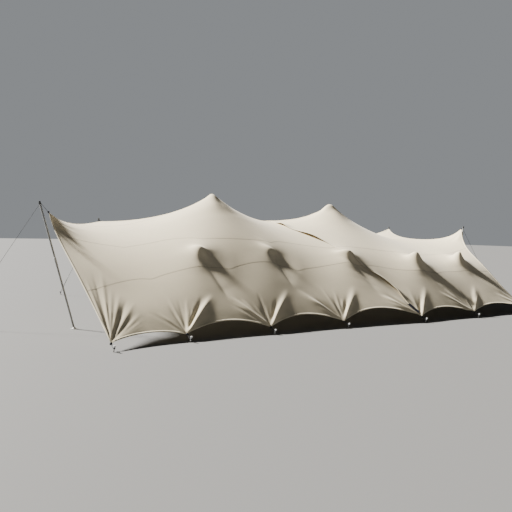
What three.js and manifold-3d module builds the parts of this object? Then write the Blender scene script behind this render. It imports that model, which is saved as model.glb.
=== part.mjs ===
// Stretch tent: two lapped fabric sheets pulled down to stakes along the front, pushed up by two king
// poles and five inner poles, and held up on guyed edge poles at both ends and along the back.
// Millimetres. X runs along the front hem, Y towards the back, Z up, and the ground is at zero.

import * as THREE from 'three';
import { mergeVertices } from 'three/addons/utils/BufferGeometryUtils.js';
import Module from 'manifold-3d';

const wasm = await Module();
wasm.setup();

// Driving dimensions: the points that hold the fabric, each at a column and row of the fabric net
const COLUMNS = 52;
const ROWS = 26;
const JOINT_COLUMN = 32;
const LAP_COLUMNS = 2;

const FRONT_TIPS = [
  { column: 0, row: 0, at: [-7800, -5400, 180] },
  { column: 8, row: 0, at: [-5700, -5040, 200] },
  { column: 16, row: 0, at: [-3080, -4980, 200] },
  { column: 24, row: 0, at: [-390, -4940, 200] },
  { column: 32, row: 0, at: [2790, -5090, 200] },
  { column: 42, row: 0, at: [5500, -5020, 200] },
  { column: 52, row: 0, at: [8500, -5040, 220] },
];

// The fabric's pull rises towards each king pole, and is doubled at the pole's spread from it
const KING_TIPS = [
  { column: 22, row: 13, spread: 5600, at: [-3050, -100, 4420] },
  { column: 38, row: 14, spread: 3500, at: [2750, 500, 4300] },
];

const INNER_TIPS = [
  { column: 14, row: 6, at: [-4510, -2810, 2500] },
  { column: 22, row: 6, at: [-1900, -2700, 2450] },
  { column: 32, row: 6, at: [1280, -2910, 2400] },
  { column: 40, row: 6, at: [4370, -3200, 2350] },
  { column: 47, row: 6, at: [6940, -3000, 2350] },
];

// Where the joint between the sheets crosses the ridge
const JOINT_CROSSING = { row: 13, at: [-250, 0] };

// Raised hem tips: the fabric's tip, the top and foot of the pole beside it, and the guy's stake
const EDGE_TIPS = [
  { name: 'left', pole: 'left_end_pole', column: 0, row: 11,
    at: [-8880, -1180, 3500], top: [-9140, -1210, 3820], foot: [-8240, -2140], stake: [-11300, -1000] },
  { name: 'right', pole: 'right_end_pole', column: 52, row: 11,
    at: [9310, -980, 3350], top: [9420, -985, 3480], foot: [8950, -1000], stake: [11700, -1050] },
  { name: 'back_1', pole: 'back_pole_1', column: 0, row: 26,
    at: [-6300, 4600, 3350], top: [-6370, 4690, 3490], foot: [-6050, 4250], stake: [-7700, 6500] },
  { name: 'back_2', pole: 'back_pole_2', column: 16, row: 26,
    at: [-2400, 5000, 3500], top: [-2400, 5120, 3630], foot: [-2400, 4720], stake: [-2500, 7000] },
  { name: 'back_3', pole: 'back_pole_3', column: 32, row: 26,
    at: [1700, 5050, 3450], top: [1700, 5170, 3580], foot: [1700, 4770], stake: [1700, 7050] },
  { name: 'back_4', pole: 'back_pole_4', column: 42, row: 26,
    at: [5700, 5000, 2550], top: [5700, 5120, 2680], foot: [5700, 4720], stake: [5800, 7000] },
  { name: 'back_5', pole: 'back_pole_5', column: 52, row: 26,
    at: [9800, 4600, 3350], top: [9870, 4690, 3490], foot: [9550, 4250], stake: [11200, 6500] },
];

// How far each hem bows in between its tips, as a share of the distance between them.
// The left and right hems have a front part and a back part.
const FRONT_BOWS = [0.09, 0.09, 0.09, 0.09, 0.09, 0.09];
const BACK_BOWS = [0.09, 0.09, 0.09, 0.09];
const LEFT_BOWS = [0, 0.085];
const RIGHT_BOWS = [0.145, 0.1];

// Pull of each hem belt, as the millimetres of fabric that pull as hard
const FRONT_HEM_PULL = 9000;
const BACK_HEM_PULL = 3500;
const LEFT_HEM_PULLS = [600, 3000];
const RIGHT_HEM_PULLS = [200, 840];

// Weight of a square millimetre of fabric against its pull, the size of a pole's tip in the fabric, and
// how far around a pole the net's plan is drawn to it
const FABRIC_WEIGHT = 0.00012;
const TIP_SIZE = 50;
const DRAW_REACH = 1300;

// Bays between the inner poles: how deep they hang, where the outermost two end, how far their ridges
// slant to the left, the length of the front slope, and as shares of that length the bay's deepest place
// and its reach behind the poles
const BAY_SAG = 220;
const END_BAY_SAG = 77;
const BAY_ENDS = [-8200, 9300];
const RIDGE_SLANT = 0.45;
const SLOPE_LENGTH = 1850;
const SAG_PEAK = 0.25;
const SAG_BACK = 0.5;

// Fabric, lap, poles, ties, stakes and strap. The left sheet's free corner is set back by a share of a row.
const FABRIC = 8;
const CLEARANCE = 0.35;
const SMALLEST_EDGE = 0.05;
const LAP_CLEARANCE = 0.6;
const CORNER_SETBACK = 0.8;
const POLE_RADIUS = 30;
const HEAD_RADIUS = 46;
const FOOT_RADIUS = 110;
const FOOT_HEIGHT = 12;
const ROPE_RADIUS = 6;
const TIE_RADIUS = 10;
const KNOT_RADIUS = 32;
const KNOT_OFFSET = 8;
const STAKE_RADIUS = 17;
const STAKE_HEAD_RADIUS = 32;
const STAKE_HEAD = 26;
const STAKE_HEIGHT = 170;
const STAKE_LEAN = 60;
const STAKE_SETBACK = 150;
const NECK_SHARE = 0.6;
const STRAP_START = 150;
const STRAP_LENGTH = 450;
const STRAP_WIDTH = 130;
const STRAP_THICKNESS = 14;

const materials = {
  fabric: new THREE.MeshStandardMaterial({ color: 0xcfc6b0, roughness: 0.85, metalness: 0 }),
  pole: new THREE.MeshStandardMaterial({ color: 0x8d9194, roughness: 0.4, metalness: 0.9 }),
  webbing: new THREE.MeshStandardMaterial({ color: 0x23262e, roughness: 0.8, metalness: 0 }),
  rope: new THREE.MeshStandardMaterial({ color: 0x2f3236, roughness: 0.8, metalness: 0 }),
  stake: new THREE.MeshStandardMaterial({ color: 0xa8abab, roughness: 0.45, metalness: 0.8 }),
};

const vector = ([x, y, z = 0]) => new THREE.Vector3(x, y, z);
const span = (from, to) => Array.from({ length: to - from + 1 }, (_, i) => from + i);

// The net's plan: four curved sides for each sheet, blended, and drawn to the poles in between
const backTips = EDGE_TIPS.filter((tip) => tip.row === ROWS);
const [leftTip, rightTip] = EDGE_TIPS;
const heldTips = [...FRONT_TIPS, ...KING_TIPS, ...INNER_TIPS, ...EDGE_TIPS];
const flat = ([x, y]) => new THREE.Vector3(x, y, 0);

function hemPoint(stops, index, bows) {
  const next = Math.max(1, stops.findIndex((stop) => stop.index >= index));
  const from = flat(stops[next - 1].at);
  const to = flat(stops[next].at);
  const share = (index - stops[next - 1].index) / (stops[next].index - stops[next - 1].index);
  const inward = new THREE.Vector3(from.y - to.y, to.x - from.x, 0);
  const middle = from.clone().add(to).divideScalar(2);
  if (inward.dot(middle) > 0) inward.negate();
  return from.lerp(to, share).addScaledVector(inward, 4 * bows[next - 1] * share * (1 - share));
}

const byColumn = (tip) => ({ index: tip.column, at: tip.at });
const byRow = (row, tip) => ({ index: row, at: tip.at });
const frontStops = FRONT_TIPS.map(byColumn);
const backStops = backTips.map(byColumn);
const leftStops = [byRow(0, FRONT_TIPS[0]), byRow(leftTip.row, leftTip), byRow(ROWS, backTips[0])];
const rightStops = [byRow(0, FRONT_TIPS[6]), byRow(rightTip.row, rightTip), byRow(ROWS, backTips[4])];
const jointStops = [
  byRow(0, FRONT_TIPS[4]),
  byRow(INNER_TIPS[2].row, INNER_TIPS[2]),
  byRow(JOINT_CROSSING.row, JOINT_CROSSING),
  byRow(ROWS, backTips[2]),
];

const front = (column) => hemPoint(frontStops, column, FRONT_BOWS);
const back = (column) => hemPoint(backStops, column, BACK_BOWS);
const left = (row) => hemPoint(leftStops, row, LEFT_BOWS);
const right = (row) => hemPoint(rightStops, row, RIGHT_BOWS);

// The joint is a smooth curve through its stops
function joint(row) {
  const next = Math.max(1, jointStops.findIndex((stop) => stop.index >= row));
  const share = (row - jointStops[next - 1].index) / (jointStops[next].index - jointStops[next - 1].index);
  const curve = new THREE.CatmullRomCurve3(jointStops.map((stop) => flat(stop.at)), false, 'catmullrom');
  return curve.getPoint((next - 1 + share) / (jointStops.length - 1));
}

function blendedPoint(column, row) {
  const onLeft = column <= JOINT_COLUMN;
  const [first, last] = onLeft ? [0, JOINT_COLUMN] : [JOINT_COLUMN, COLUMNS];
  const [near, far] = onLeft ? [left, joint] : [joint, right];
  const u = (column - first) / (last - first);
  const v = row / ROWS;
  return front(column).multiplyScalar(1 - v)
    .addScaledVector(back(column), v)
    .addScaledVector(near(row), 1 - u)
    .addScaledVector(far(row), u)
    .addScaledVector(near(0), -(1 - u) * (1 - v))
    .addScaledVector(far(0), -u * (1 - v))
    .addScaledVector(near(ROWS), -(1 - u) * v)
    .addScaledVector(far(ROWS), -u * v);
}

const onHem = (column, row) => column === 0 || column === COLUMNS || row === 0 || row === ROWS;

function planNet() {
  const plan = span(0, COLUMNS).map((column) => span(0, ROWS).map((row) => blendedPoint(column, row)));
  for (const tip of [...KING_TIPS, ...INNER_TIPS]) {
    const from = plan[tip.column][tip.row].clone();
    const shift = flat(tip.at).sub(from);
    plan.forEach((line, column) => line.forEach((point, row) => {
      if (onHem(column, row) || column === JOINT_COLUMN) return;
      const nearness = Math.exp(-((point.distanceTo(from) / DRAW_REACH) ** 2));
      point.addScaledVector(shift, nearness);
    }));
  }
  heldTips.forEach((tip) => plan[tip.column][tip.row].copy(flat(tip.at)));
  return plan;
}

// The net's heights: the fabric pulls alike over its triangles, and each hem belt along its length, and
// every crossing settles where the pulls of its neighbours carry its weight
function kingFactor(point) {
  return KING_TIPS.reduce(
    (sum, tip) => sum + tip.spread / (TIP_SIZE + point.distanceTo(flat(tip.at))), 1);
}

function settleNet() {
  const plan = planNet();
  const points = plan.flat();
  const pulls = points.map(() => new Map());
  const weights = points.map(() => 0);
  const indexOf = (column, row) => column * (ROWS + 1) + row;

  const join = (a, b, pull) => {
    pulls[a].set(b, (pulls[a].get(b) ?? 0) + pull);
    pulls[b].set(a, (pulls[b].get(a) ?? 0) + pull);
  };

  // Each corner of a triangle holds its two neighbours together by half the cotangent of its angle
  const stretch = (corners) => {
    const middle = corners.reduce((sum, index) => sum.add(points[index]), new THREE.Vector3());
    const factor = kingFactor(middle.divideScalar(3));
    corners.forEach((corner, k) => {
      const from = corners[(k + 1) % 3];
      const to = corners[(k + 2) % 3];
      const [a, b] = [from, to].map((index) => points[index].clone().sub(points[corner]));
      const doubleArea = Math.abs(a.x * b.y - a.y * b.x);
      join(from, to, factor * a.dot(b) / doubleArea / 2);
      weights[corner] += FABRIC_WEIGHT * doubleArea / 6;
    });
  };

  const belt = (columns, rows, pull) => {
    const along = columns.flatMap((column) => rows.map((row) => indexOf(column, row)));
    along.slice(1).forEach((index, k) => {
      join(along[k], index, pull / points[along[k]].distanceTo(points[index]));
    });
  };

  for (const column of span(0, COLUMNS - 1)) {
    for (const row of span(0, ROWS - 1)) {
      const [a, b] = [indexOf(column, row), indexOf(column + 1, row)];
      const [c, d] = [indexOf(column + 1, row + 1), indexOf(column, row + 1)];
      const forward = points[a].distanceTo(points[c]) <= points[b].distanceTo(points[d]);
      const triangles = forward ? [[a, b, c], [a, c, d]] : [[a, b, d], [b, c, d]];
      triangles.forEach(stretch);
    }
  }
  belt(span(0, COLUMNS), [0], FRONT_HEM_PULL);
  belt(span(0, COLUMNS), [ROWS], BACK_HEM_PULL);
  belt([0], span(0, leftTip.row), LEFT_HEM_PULLS[0]);
  belt([0], span(leftTip.row, ROWS), LEFT_HEM_PULLS[1]);
  belt([COLUMNS], span(0, rightTip.row), RIGHT_HEM_PULLS[0]);
  belt([COLUMNS], span(rightTip.row, ROWS), RIGHT_HEM_PULLS[1]);

  const held = new Set(heldTips.map((tip) => indexOf(tip.column, tip.row)));
  heldTips.forEach((tip) => plan[tip.column][tip.row].setZ(tip.at[2]));

  const sweeps = 500;
  const stride = 1.85;
  for (let sweep = 0; sweep < sweeps; sweep++) {
    points.forEach((point, index) => {
      if (held.has(index)) return;
      let total = 0;
      let lift = -weights[index];
      pulls[index].forEach((pull, neighbour) => {
        total += pull;
        lift += pull * points[neighbour].z;
      });
      point.z += stride * (lift / total - point.z);
    });
  }
  plan.forEach((line) => line.slice(1).forEach((point) => {
    point.z -= baySag(point);
  }));
  return plan;
}

// Between the inner poles the fabric hangs in bays, deepest a little in front of the poles, with a ridge
// from each pole down to its hem tip
function poleLine(x) {
  const next = INNER_TIPS.findIndex((tip, i) => i > 0 && (tip.at[0] > x || i === INNER_TIPS.length - 1));
  const [from, to] = [INNER_TIPS[next - 1].at, INNER_TIPS[next].at];
  const share = THREE.MathUtils.clamp((x - from[0]) / (to[0] - from[0]), 0, 1);
  return THREE.MathUtils.lerp(from[1], to[1], share);
}

function baySag(point) {
  const forward = poleLine(point.x) - point.y;
  const x = point.x + RIDGE_SLANT * Math.max(0, forward);
  const stops = [BAY_ENDS[0], ...INNER_TIPS.map((tip) => tip.at[0]), BAY_ENDS[1]];
  const next = stops.findIndex((stop, i) => i > 0 && (stop > x || i === stops.length - 1));
  const share = THREE.MathUtils.clamp((x - stops[next - 1]) / (stops[next] - stops[next - 1]), 0, 1);
  const atEnd = next === 1 || next === stops.length - 1;
  const downSlope = forward / SLOPE_LENGTH;
  const fade = downSlope > SAG_PEAK
    ? (downSlope - SAG_PEAK) / (1 - SAG_PEAK)
    : (SAG_PEAK - downSlope) / (SAG_PEAK + SAG_BACK);
  const depth = (atEnd ? END_BAY_SAG : BAY_SAG) * Math.cos(Math.PI / 2 * Math.min(1, fade)) ** 2;
  return depth * (2 * share * (1 - share) + Math.sin(Math.PI * share) ** 2 / 2);
}

const net = settleNet();

function normalAt(column, row) {
  const along = new THREE.Vector3().subVectors(
    net[Math.min(column + 1, COLUMNS)][row], net[Math.max(column - 1, 0)][row]);
  const across = new THREE.Vector3().subVectors(
    net[column][Math.min(row + 1, ROWS)], net[column][Math.max(row - 1, 0)]);
  return along.cross(across).normalize();
}

const normals = net.map((line, column) => line.map((point, row) => normalAt(column, row)));

// A point of the net moved off the fabric's middle surface, and at a hem also outwards by the growth
function layerPoint(column, row, offset, growth = 0) {
  const point = net[column][row].clone().addScaledVector(normals[column][row], offset);
  if (growth === 0) return point;
  const inward = new THREE.Vector3();
  if (column === 0) inward.add(net[1][row]).sub(net[0][row]);
  if (column === COLUMNS) inward.add(net[COLUMNS - 1][row]).sub(net[COLUMNS][row]);
  if (row === 0) inward.add(net[column][1]).sub(net[column][0]);
  if (row === ROWS) inward.add(net[column][ROWS - 1]).sub(net[column][ROWS]);
  return point.addScaledVector(inward.normalize(), -growth);
}

// Each cell of the net folds along its shorter diagonal, in every layer alike
function splitsForward(column, row) {
  const forward = net[column][row].distanceTo(net[column + 1][row + 1]);
  const backward = net[column + 1][row].distanceTo(net[column][row + 1]);
  return forward <= backward;
}

// A closed solid between two grids of points that share their columns and rows
function gridSolid(columns, rows, lowPoint, highPoint) {
  const across = rows.length;
  const count = columns.length * across;
  const positions = [];
  for (const place of [lowPoint, highPoint]) {
    for (const column of columns) {
      for (const row of rows) positions.push(...place(column, row).toArray());
    }
  }
  const faces = [];
  const quad = (a, b, c, d) => faces.push(a, b, c, a, c, d);
  const at = (i, j) => i * across + j;
  for (let i = 0; i + 1 < columns.length; i++) {
    for (let j = 0; j + 1 < across; j++) {
      const [a, b, c, d] = [at(i, j), at(i + 1, j), at(i + 1, j + 1), at(i, j + 1)];
      if (splitsForward(columns[i], rows[j])) {
        quad(a + count, b + count, c + count, d + count);
        faces.push(a, c, b, a, d, c);
      } else {
        quad(b + count, c + count, d + count, a + count);
        faces.push(b, d, c, b, a, d);
      }
    }
  }
  const wall = (a, b) => quad(a, b, b + count, a + count);
  const lastColumn = columns.length - 1;
  const lastRow = across - 1;
  for (let i = 0; i < lastColumn; i++) {
    wall(at(i, 0), at(i + 1, 0));
    wall(at(i + 1, lastRow), at(i, lastRow));
  }
  for (let j = 0; j < lastRow; j++) {
    wall(at(lastColumn, j), at(lastColumn, j + 1));
    wall(at(0, j + 1), at(0, j));
  }
  const geometry = new THREE.BufferGeometry();
  geometry.setAttribute('position', new THREE.Float32BufferAttribute(positions, 3));
  geometry.setIndex(faces);
  return geometry;
}

const around = (centre, reach, last) => span(Math.max(0, centre - reach), Math.min(last, centre + reach));

// Solids for cutting and joining
function toSolid(geometry, matrix = new THREE.Matrix4()) {
  const bare = geometry.clone().applyMatrix4(matrix);
  bare.deleteAttribute('normal');
  bare.deleteAttribute('uv');
  const merged = mergeVertices(bare);
  return new wasm.Manifold(new wasm.Mesh({
    numProp: 3,
    vertProperties: new Float32Array(merged.attributes.position.array),
    triVerts: new Uint32Array(merged.index.array),
  }));
}

function toGeometry(solid) {
  const mesh = solid.simplify(SMALLEST_EDGE).getMesh();
  const geometry = new THREE.BufferGeometry();
  geometry.setAttribute('position', new THREE.BufferAttribute(mesh.vertProperties, 3));
  geometry.setIndex(new THREE.BufferAttribute(mesh.triVerts, 1));
  return geometry;
}

const tent = new THREE.Group();

function addPiece(name, geometry, material) {
  const mesh = new THREE.Mesh(geometry, material);
  mesh.name = name;
  tent.add(mesh);
}

// Sheets: the left one rides up over the right one's margin, and its free corner stops short
const half = FABRIC / 2;
const lapRise = FABRIC + LAP_CLEARANCE;
const lapStart = JOINT_COLUMN - LAP_COLUMNS;

function alongNet(column, row, columnStep, rowStep) {
  return net[column + columnStep][row + rowStep].clone().sub(net[column][row]).normalize();
}

function leftPoint(column, row, offset, growth = 0) {
  const rise = column >= lapStart ? lapRise : 0;
  const point = layerPoint(column, row, offset + rise, growth);
  if (column < JOINT_COLUMN) return point;
  point.addScaledVector(alongNet(column, row, -1, 0), -growth);
  if (row > 0) return point;
  return point.lerp(layerPoint(column, 1, offset + rise), CORNER_SETBACK);
}

function rightPoint(column, row, offset, growth = 0) {
  const point = layerPoint(column, row, offset, growth);
  if (column > lapStart) return point;
  return point.addScaledVector(alongNet(column, row, 1, 0), -growth);
}

function sheet(point, columns) {
  return gridSolid(
    columns,
    span(0, ROWS),
    (column, row) => point(column, row, -half),
    (column, row) => point(column, row, half),
  );
}

addPiece('left_sheet', sheet(leftPoint, span(0, JOINT_COLUMN)), materials.fabric);
addPiece('right_sheet', sheet(rightPoint, span(lapStart, COLUMNS)), materials.fabric);

// The fabric around one tip, grown by the clearance and two sheets thick at the joint, for cutting
// what grips it
function fabricNear(column, row) {
  const lapped = column === JOINT_COLUMN ? lapRise : 0;
  return toSolid(gridSolid(
    around(column, 2, COLUMNS),
    around(row, 2, ROWS),
    (c, r) => layerPoint(c, r, -half - CLEARANCE, CLEARANCE),
    (c, r) => layerPoint(c, r, half + lapped + CLEARANCE, CLEARANCE),
  ));
}

// Everything above the fabric's underside around one tip, for cutting the head of the pole there
function aboveFabric(column, row) {
  const clear = 400;
  const underside = (c, r) => layerPoint(c, r, -half - CLEARANCE);
  return toSolid(gridSolid(
    around(column, 2, COLUMNS),
    around(row, 2, ROWS),
    underside,
    (c, r) => underside(c, r).add(new THREE.Vector3(0, 0, clear)),
  ));
}

// Everything below the sheets' tops around the joint's front end, for cutting the strap on them
function belowSheets() {
  const deep = 200;
  const rows = span(0, 3);
  const solidUnder = (point, columns) => toSolid(gridSolid(
    columns,
    rows,
    (column, row) => point(column, row, -deep, CLEARANCE),
    (column, row) => point(column, row, half + CLEARANCE, CLEARANCE),
  ));
  const underLeft = solidUnder(leftPoint, span(lapStart - 1, JOINT_COLUMN));
  const underRight = solidUnder(rightPoint, span(lapStart, JOINT_COLUMN + 2));
  return underLeft.add(underRight);
}

// Round pieces: a profile of radius and height turned about the line from one point to another
const up = new THREE.Vector3(0, 1, 0);

function turned(profile, from, to, sides) {
  const lathe = new THREE.LatheGeometry(profile.map(([r, y]) => new THREE.Vector2(r, y)), sides);
  const turn = new THREE.Quaternion().setFromUnitVectors(up, to.clone().sub(from).normalize());
  return toSolid(lathe, new THREE.Matrix4().compose(from, turn, new THREE.Vector3(1, 1, 1)));
}

function rod(from, to, radius, sides = 6) {
  const length = from.distanceTo(to);
  return turned([[0, 0], [radius, 0], [radius, length], [0, length]], from, to, sides);
}

function ball(centre, radius) {
  const sphere = new THREE.SphereGeometry(radius, 8, 5);
  return toSolid(sphere, new THREE.Matrix4().makeTranslation(centre.x, centre.y, centre.z));
}

const belowGround = toSolid(
  new THREE.BoxGeometry(60000, 60000, 2000),
  new THREE.Matrix4().makeTranslation(0, 0, -1000),
);

function footPlate(at) {
  const from = flat(at);
  return rod(from, from.clone().setZ(FOOT_HEIGHT), FOOT_RADIUS, 16);
}

// Stakes lean away from the tent, and their heads stand out of the ground
function stake(foot, away, spare = 0) {
  const top = foot.clone().addScaledVector(away, STAKE_LEAN).setZ(STAKE_HEIGHT);
  const below = foot.clone().multiplyScalar(2).sub(top);
  const length = top.distanceTo(below);
  const radius = STAKE_RADIUS + spare;
  const collar = STAKE_HEAD_RADIUS + spare;
  const profile = [
    [0, 0],
    [radius, 0],
    [radius, length - STAKE_HEAD - spare],
    [collar, length - STAKE_HEAD - spare],
    [collar, length + spare],
    [0, length + spare],
  ];
  return turned(profile, below, top, 10).subtract(belowGround);
}

function stakeNeck(foot, away) {
  const top = foot.clone().addScaledVector(away, STAKE_LEAN).setZ(STAKE_HEIGHT);
  return foot.clone().lerp(top, NECK_SHARE);
}

function awayFrom(tip, foot) {
  return foot.clone().sub(tip).setZ(0).normalize();
}

// Front hem: a tie from each tip to its stake
FRONT_TIPS.forEach((tip, index) => {
  const end = vector(tip.at);
  const inner = net[tip.column][2];
  const sideways = end.clone().sub(inner).setZ(0).normalize();
  const foot = end.clone().addScaledVector(sideways, STAKE_SETBACK).setZ(0);
  const away = awayFrom(end, foot);
  const knot = end.clone().addScaledVector(away, KNOT_OFFSET);
  const tie = ball(knot, KNOT_RADIUS)
    .add(rod(knot, stakeNeck(foot, away), TIE_RADIUS))
    .subtract(fabricNear(tip.column, 0))
    .subtract(stake(foot, away, CLEARANCE));
  addPiece(`front_tie_${index + 1}`, toGeometry(tie), materials.webbing);
  addPiece(`front_stake_${index + 1}`, toGeometry(stake(foot, away)), materials.stake);
});

// Joint strap: from the left sheet's free corner down to the tie at the joint's front end
function jointStrap() {
  const start = net[JOINT_COLUMN][0];
  const along = alongNet(JOINT_COLUMN, 0, 0, 1);
  const sideways = normals[JOINT_COLUMN][0].clone().cross(along).normalize();
  const upward = along.clone().cross(sideways);
  const height = lapRise + half + STRAP_THICKNESS;
  const slab = new THREE.BoxGeometry(STRAP_LENGTH, STRAP_WIDTH, height);
  const place = new THREE.Matrix4().makeBasis(along, sideways, upward);
  place.setPosition(start.clone()
    .addScaledVector(along, STRAP_START + STRAP_LENGTH / 2)
    .addScaledVector(upward, height / 2));
  return toSolid(slab, place).subtract(belowSheets());
}

addPiece('joint_strap', toGeometry(jointStrap()), materials.webbing);

// Poles under the fabric: their heads follow its underside
function pushPole(name, tip) {
  const foot = vector(tip.at).setZ(0);
  const top = vector(tip.at);
  const height = top.z;
  const profile = [
    [0, 0],
    [POLE_RADIUS, 0],
    [POLE_RADIUS, height - 3 * HEAD_RADIUS],
    [HEAD_RADIUS, height - 2.5 * HEAD_RADIUS],
    [HEAD_RADIUS, height],
    [0, height],
  ];
  const pole = turned(profile, foot, top, 12)
    .add(footPlate(tip.at))
    .subtract(aboveFabric(tip.column, tip.row));
  addPiece(name, toGeometry(pole), materials.pole);
}

KING_TIPS.forEach((tip, index) => pushPole(`king_pole_${index + 1}`, tip));
INNER_TIPS.forEach((tip, index) => pushPole(`inner_pole_${index + 1}`, tip));

// Edge poles: a guy runs from the hem's tip over the pole's top down to its stake
function guyRope(tip, spare = 0) {
  const end = vector(tip.at);
  const top = vector(tip.top);
  const foot = vector(tip.stake);
  const away = awayFrom(top, foot);
  const knot = end.clone().addScaledVector(top.clone().sub(end).normalize(), KNOT_OFFSET);
  return ball(knot, KNOT_RADIUS)
    .add(rod(knot, top, ROPE_RADIUS + spare))
    .add(ball(top, ROPE_RADIUS + 1 + spare))
    .add(rod(top, stakeNeck(foot, away), ROPE_RADIUS + spare));
}

EDGE_TIPS.forEach((tip) => {
  const top = vector(tip.top);
  const foot = vector(tip.foot);
  const stakeFoot = vector(tip.stake);
  const away = awayFrom(top, stakeFoot);
  const below = foot.clone().addScaledVector(top.clone().sub(foot).normalize(), -POLE_RADIUS);
  const pole = rod(below, top, POLE_RADIUS, 12)
    .add(footPlate(tip.foot))
    .subtract(belowGround)
    .subtract(guyRope(tip, CLEARANCE));
  addPiece(tip.pole, toGeometry(pole), materials.pole);
  const rope = guyRope(tip)
    .subtract(fabricNear(tip.column, tip.row))
    .subtract(stake(stakeFoot, away, CLEARANCE));
  addPiece(`${tip.name}_guy`, toGeometry(rope), materials.rope);
  addPiece(`${tip.name}_guy_stake`, toGeometry(stake(stakeFoot, away)), materials.stake);
});

// The tent stands centred over the origin
const extent = new THREE.Box3().setFromObject(tent);
const centre = extent.getCenter(new THREE.Vector3());
tent.position.set(-centre.x, -centre.y, 0);

export default tent;
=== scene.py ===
"""A stretch tent in its CAD frame: two lapped sheets of stretch knit with their hems, welds and folds,
the poles under them, the guyed edge poles, the front ties and the stakes. Metres, Z up."""

import math
import random

import bmesh
import bpy
import numpy as np
from mathutils import Matrix, Vector


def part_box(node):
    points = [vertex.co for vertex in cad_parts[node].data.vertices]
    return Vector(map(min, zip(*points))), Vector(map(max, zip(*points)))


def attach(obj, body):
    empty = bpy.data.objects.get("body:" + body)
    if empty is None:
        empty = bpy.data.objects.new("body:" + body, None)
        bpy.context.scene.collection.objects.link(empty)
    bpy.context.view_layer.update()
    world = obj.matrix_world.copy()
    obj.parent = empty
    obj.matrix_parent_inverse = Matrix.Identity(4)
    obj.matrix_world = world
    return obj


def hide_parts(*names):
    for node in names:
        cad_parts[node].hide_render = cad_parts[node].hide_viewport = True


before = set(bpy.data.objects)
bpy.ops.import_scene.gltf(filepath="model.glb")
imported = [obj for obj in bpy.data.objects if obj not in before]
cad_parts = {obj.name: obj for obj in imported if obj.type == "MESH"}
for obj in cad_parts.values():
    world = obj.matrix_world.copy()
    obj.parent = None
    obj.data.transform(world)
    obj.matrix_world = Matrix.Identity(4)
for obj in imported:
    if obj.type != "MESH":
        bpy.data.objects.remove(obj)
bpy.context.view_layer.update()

# The fabric's net: columns run along the front hem, rows run from the front to the back
COLUMNS = 52
ROWS = 26
JOINT = 32

# Points that hold the fabric: column, row and place, on the tent's own plan
FRONT_TIPS = [
    (0, 0, (-7.80, -5.40, 0.18)),
    (8, 0, (-5.70, -5.04, 0.20)),
    (16, 0, (-3.08, -4.98, 0.20)),
    (24, 0, (-0.39, -4.94, 0.20)),
    (32, 0, (2.79, -5.09, 0.20)),
    (42, 0, (5.50, -5.02, 0.20)),
    (52, 0, (8.50, -5.04, 0.22)),
]
KING_TIPS = [(22, 13, (-3.05, -0.10, 4.42)), (38, 14, (2.75, 0.50, 4.30))]
KING_SPREADS = [5.6, 3.5]
INNER_TIPS = [
    (14, 6, (-4.51, -2.81, 2.50)),
    (22, 6, (-1.90, -2.70, 2.45)),
    (32, 6, (1.28, -2.91, 2.40)),
    (40, 6, (4.37, -3.20, 2.35)),
    (47, 6, (6.94, -3.00, 2.35)),
]
LEFT_TIP = (0, 11, (-8.88, -1.18, 3.50))
RIGHT_TIP = (52, 11, (9.31, -0.98, 3.35))
BACK_TIPS = [
    (0, 26, (-6.30, 4.60, 3.35)),
    (16, 26, (-2.40, 5.00, 3.50)),
    (32, 26, (1.70, 5.05, 3.45)),
    (42, 26, (5.70, 5.00, 2.55)),
    (52, 26, (9.80, 4.60, 3.35)),
]
JOINT_CROSSING = (13, (-0.25, 0.0))
EDGE_TIPS = FRONT_TIPS + [LEFT_TIP, RIGHT_TIP] + BACK_TIPS
HELD_TIPS = EDGE_TIPS + KING_TIPS + INNER_TIPS

# Edge poles: name, the fabric's tip, the pole's top and foot, and the guy's stake
EDGE_POLES = [
    ("left_end_pole", "left_guy", LEFT_TIP, (-9.14, -1.21, 3.82), (-8.24, -2.14), (-11.30, -1.00)),
    ("right_end_pole", "right_guy", RIGHT_TIP, (9.42, -0.985, 3.48), (8.95, -1.00), (11.70, -1.05)),
    ("back_pole_1", "back_1_guy", BACK_TIPS[0], (-6.37, 4.69, 3.49), (-6.05, 4.25), (-7.70, 6.50)),
    ("back_pole_2", "back_2_guy", BACK_TIPS[1], (-2.40, 5.12, 3.63), (-2.40, 4.72), (-2.50, 7.00)),
    ("back_pole_3", "back_3_guy", BACK_TIPS[2], (1.70, 5.17, 3.58), (1.70, 4.77), (1.70, 7.05)),
    ("back_pole_4", "back_4_guy", BACK_TIPS[3], (5.70, 5.12, 2.68), (5.70, 4.72), (5.80, 7.00)),
    ("back_pole_5", "back_5_guy", BACK_TIPS[4], (9.87, 4.69, 3.49), (9.55, 4.25), (11.20, 6.50)),
]

# How far the hems bow in between their tips, and how hard their belts pull
FRONT_BOWS = [0.09] * 6
BACK_BOWS = [0.09] * 4
LEFT_BOWS = [0.0, 0.085]
RIGHT_BOWS = [0.145, 0.1]
FRONT_PULL = 9.0
BACK_PULL = 3.5
LEFT_PULLS = [0.6, 3.0]
RIGHT_PULLS = [0.2, 0.84]
DRAW_REACH = 1.3
FABRIC_WEIGHT = 0.12
TIP_SIZE = 0.05

# Bays between the inner poles: how far each hangs below the net, or above it where the number is below zero
BAY_SAGS = [0.03, 0.04, 0.04, 0.03, -0.03, -0.04]
BAY_ENDS = [-8.2, 9.3]
RIDGE_SLANT = 0.45
RIDGE_ROUND = 0.3
SLOPE_LENGTH = 1.85
SAG_PEAK = 0.45
SAG_BACK = 0.5

king_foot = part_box("king_pole_1")
SHIFT = np.array([
    (king_foot[0].x + king_foot[1].x) / 2 - KING_TIPS[0][2][0],
    (king_foot[0].y + king_foot[1].y) / 2 - KING_TIPS[0][2][1],
    0.0,
])


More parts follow.
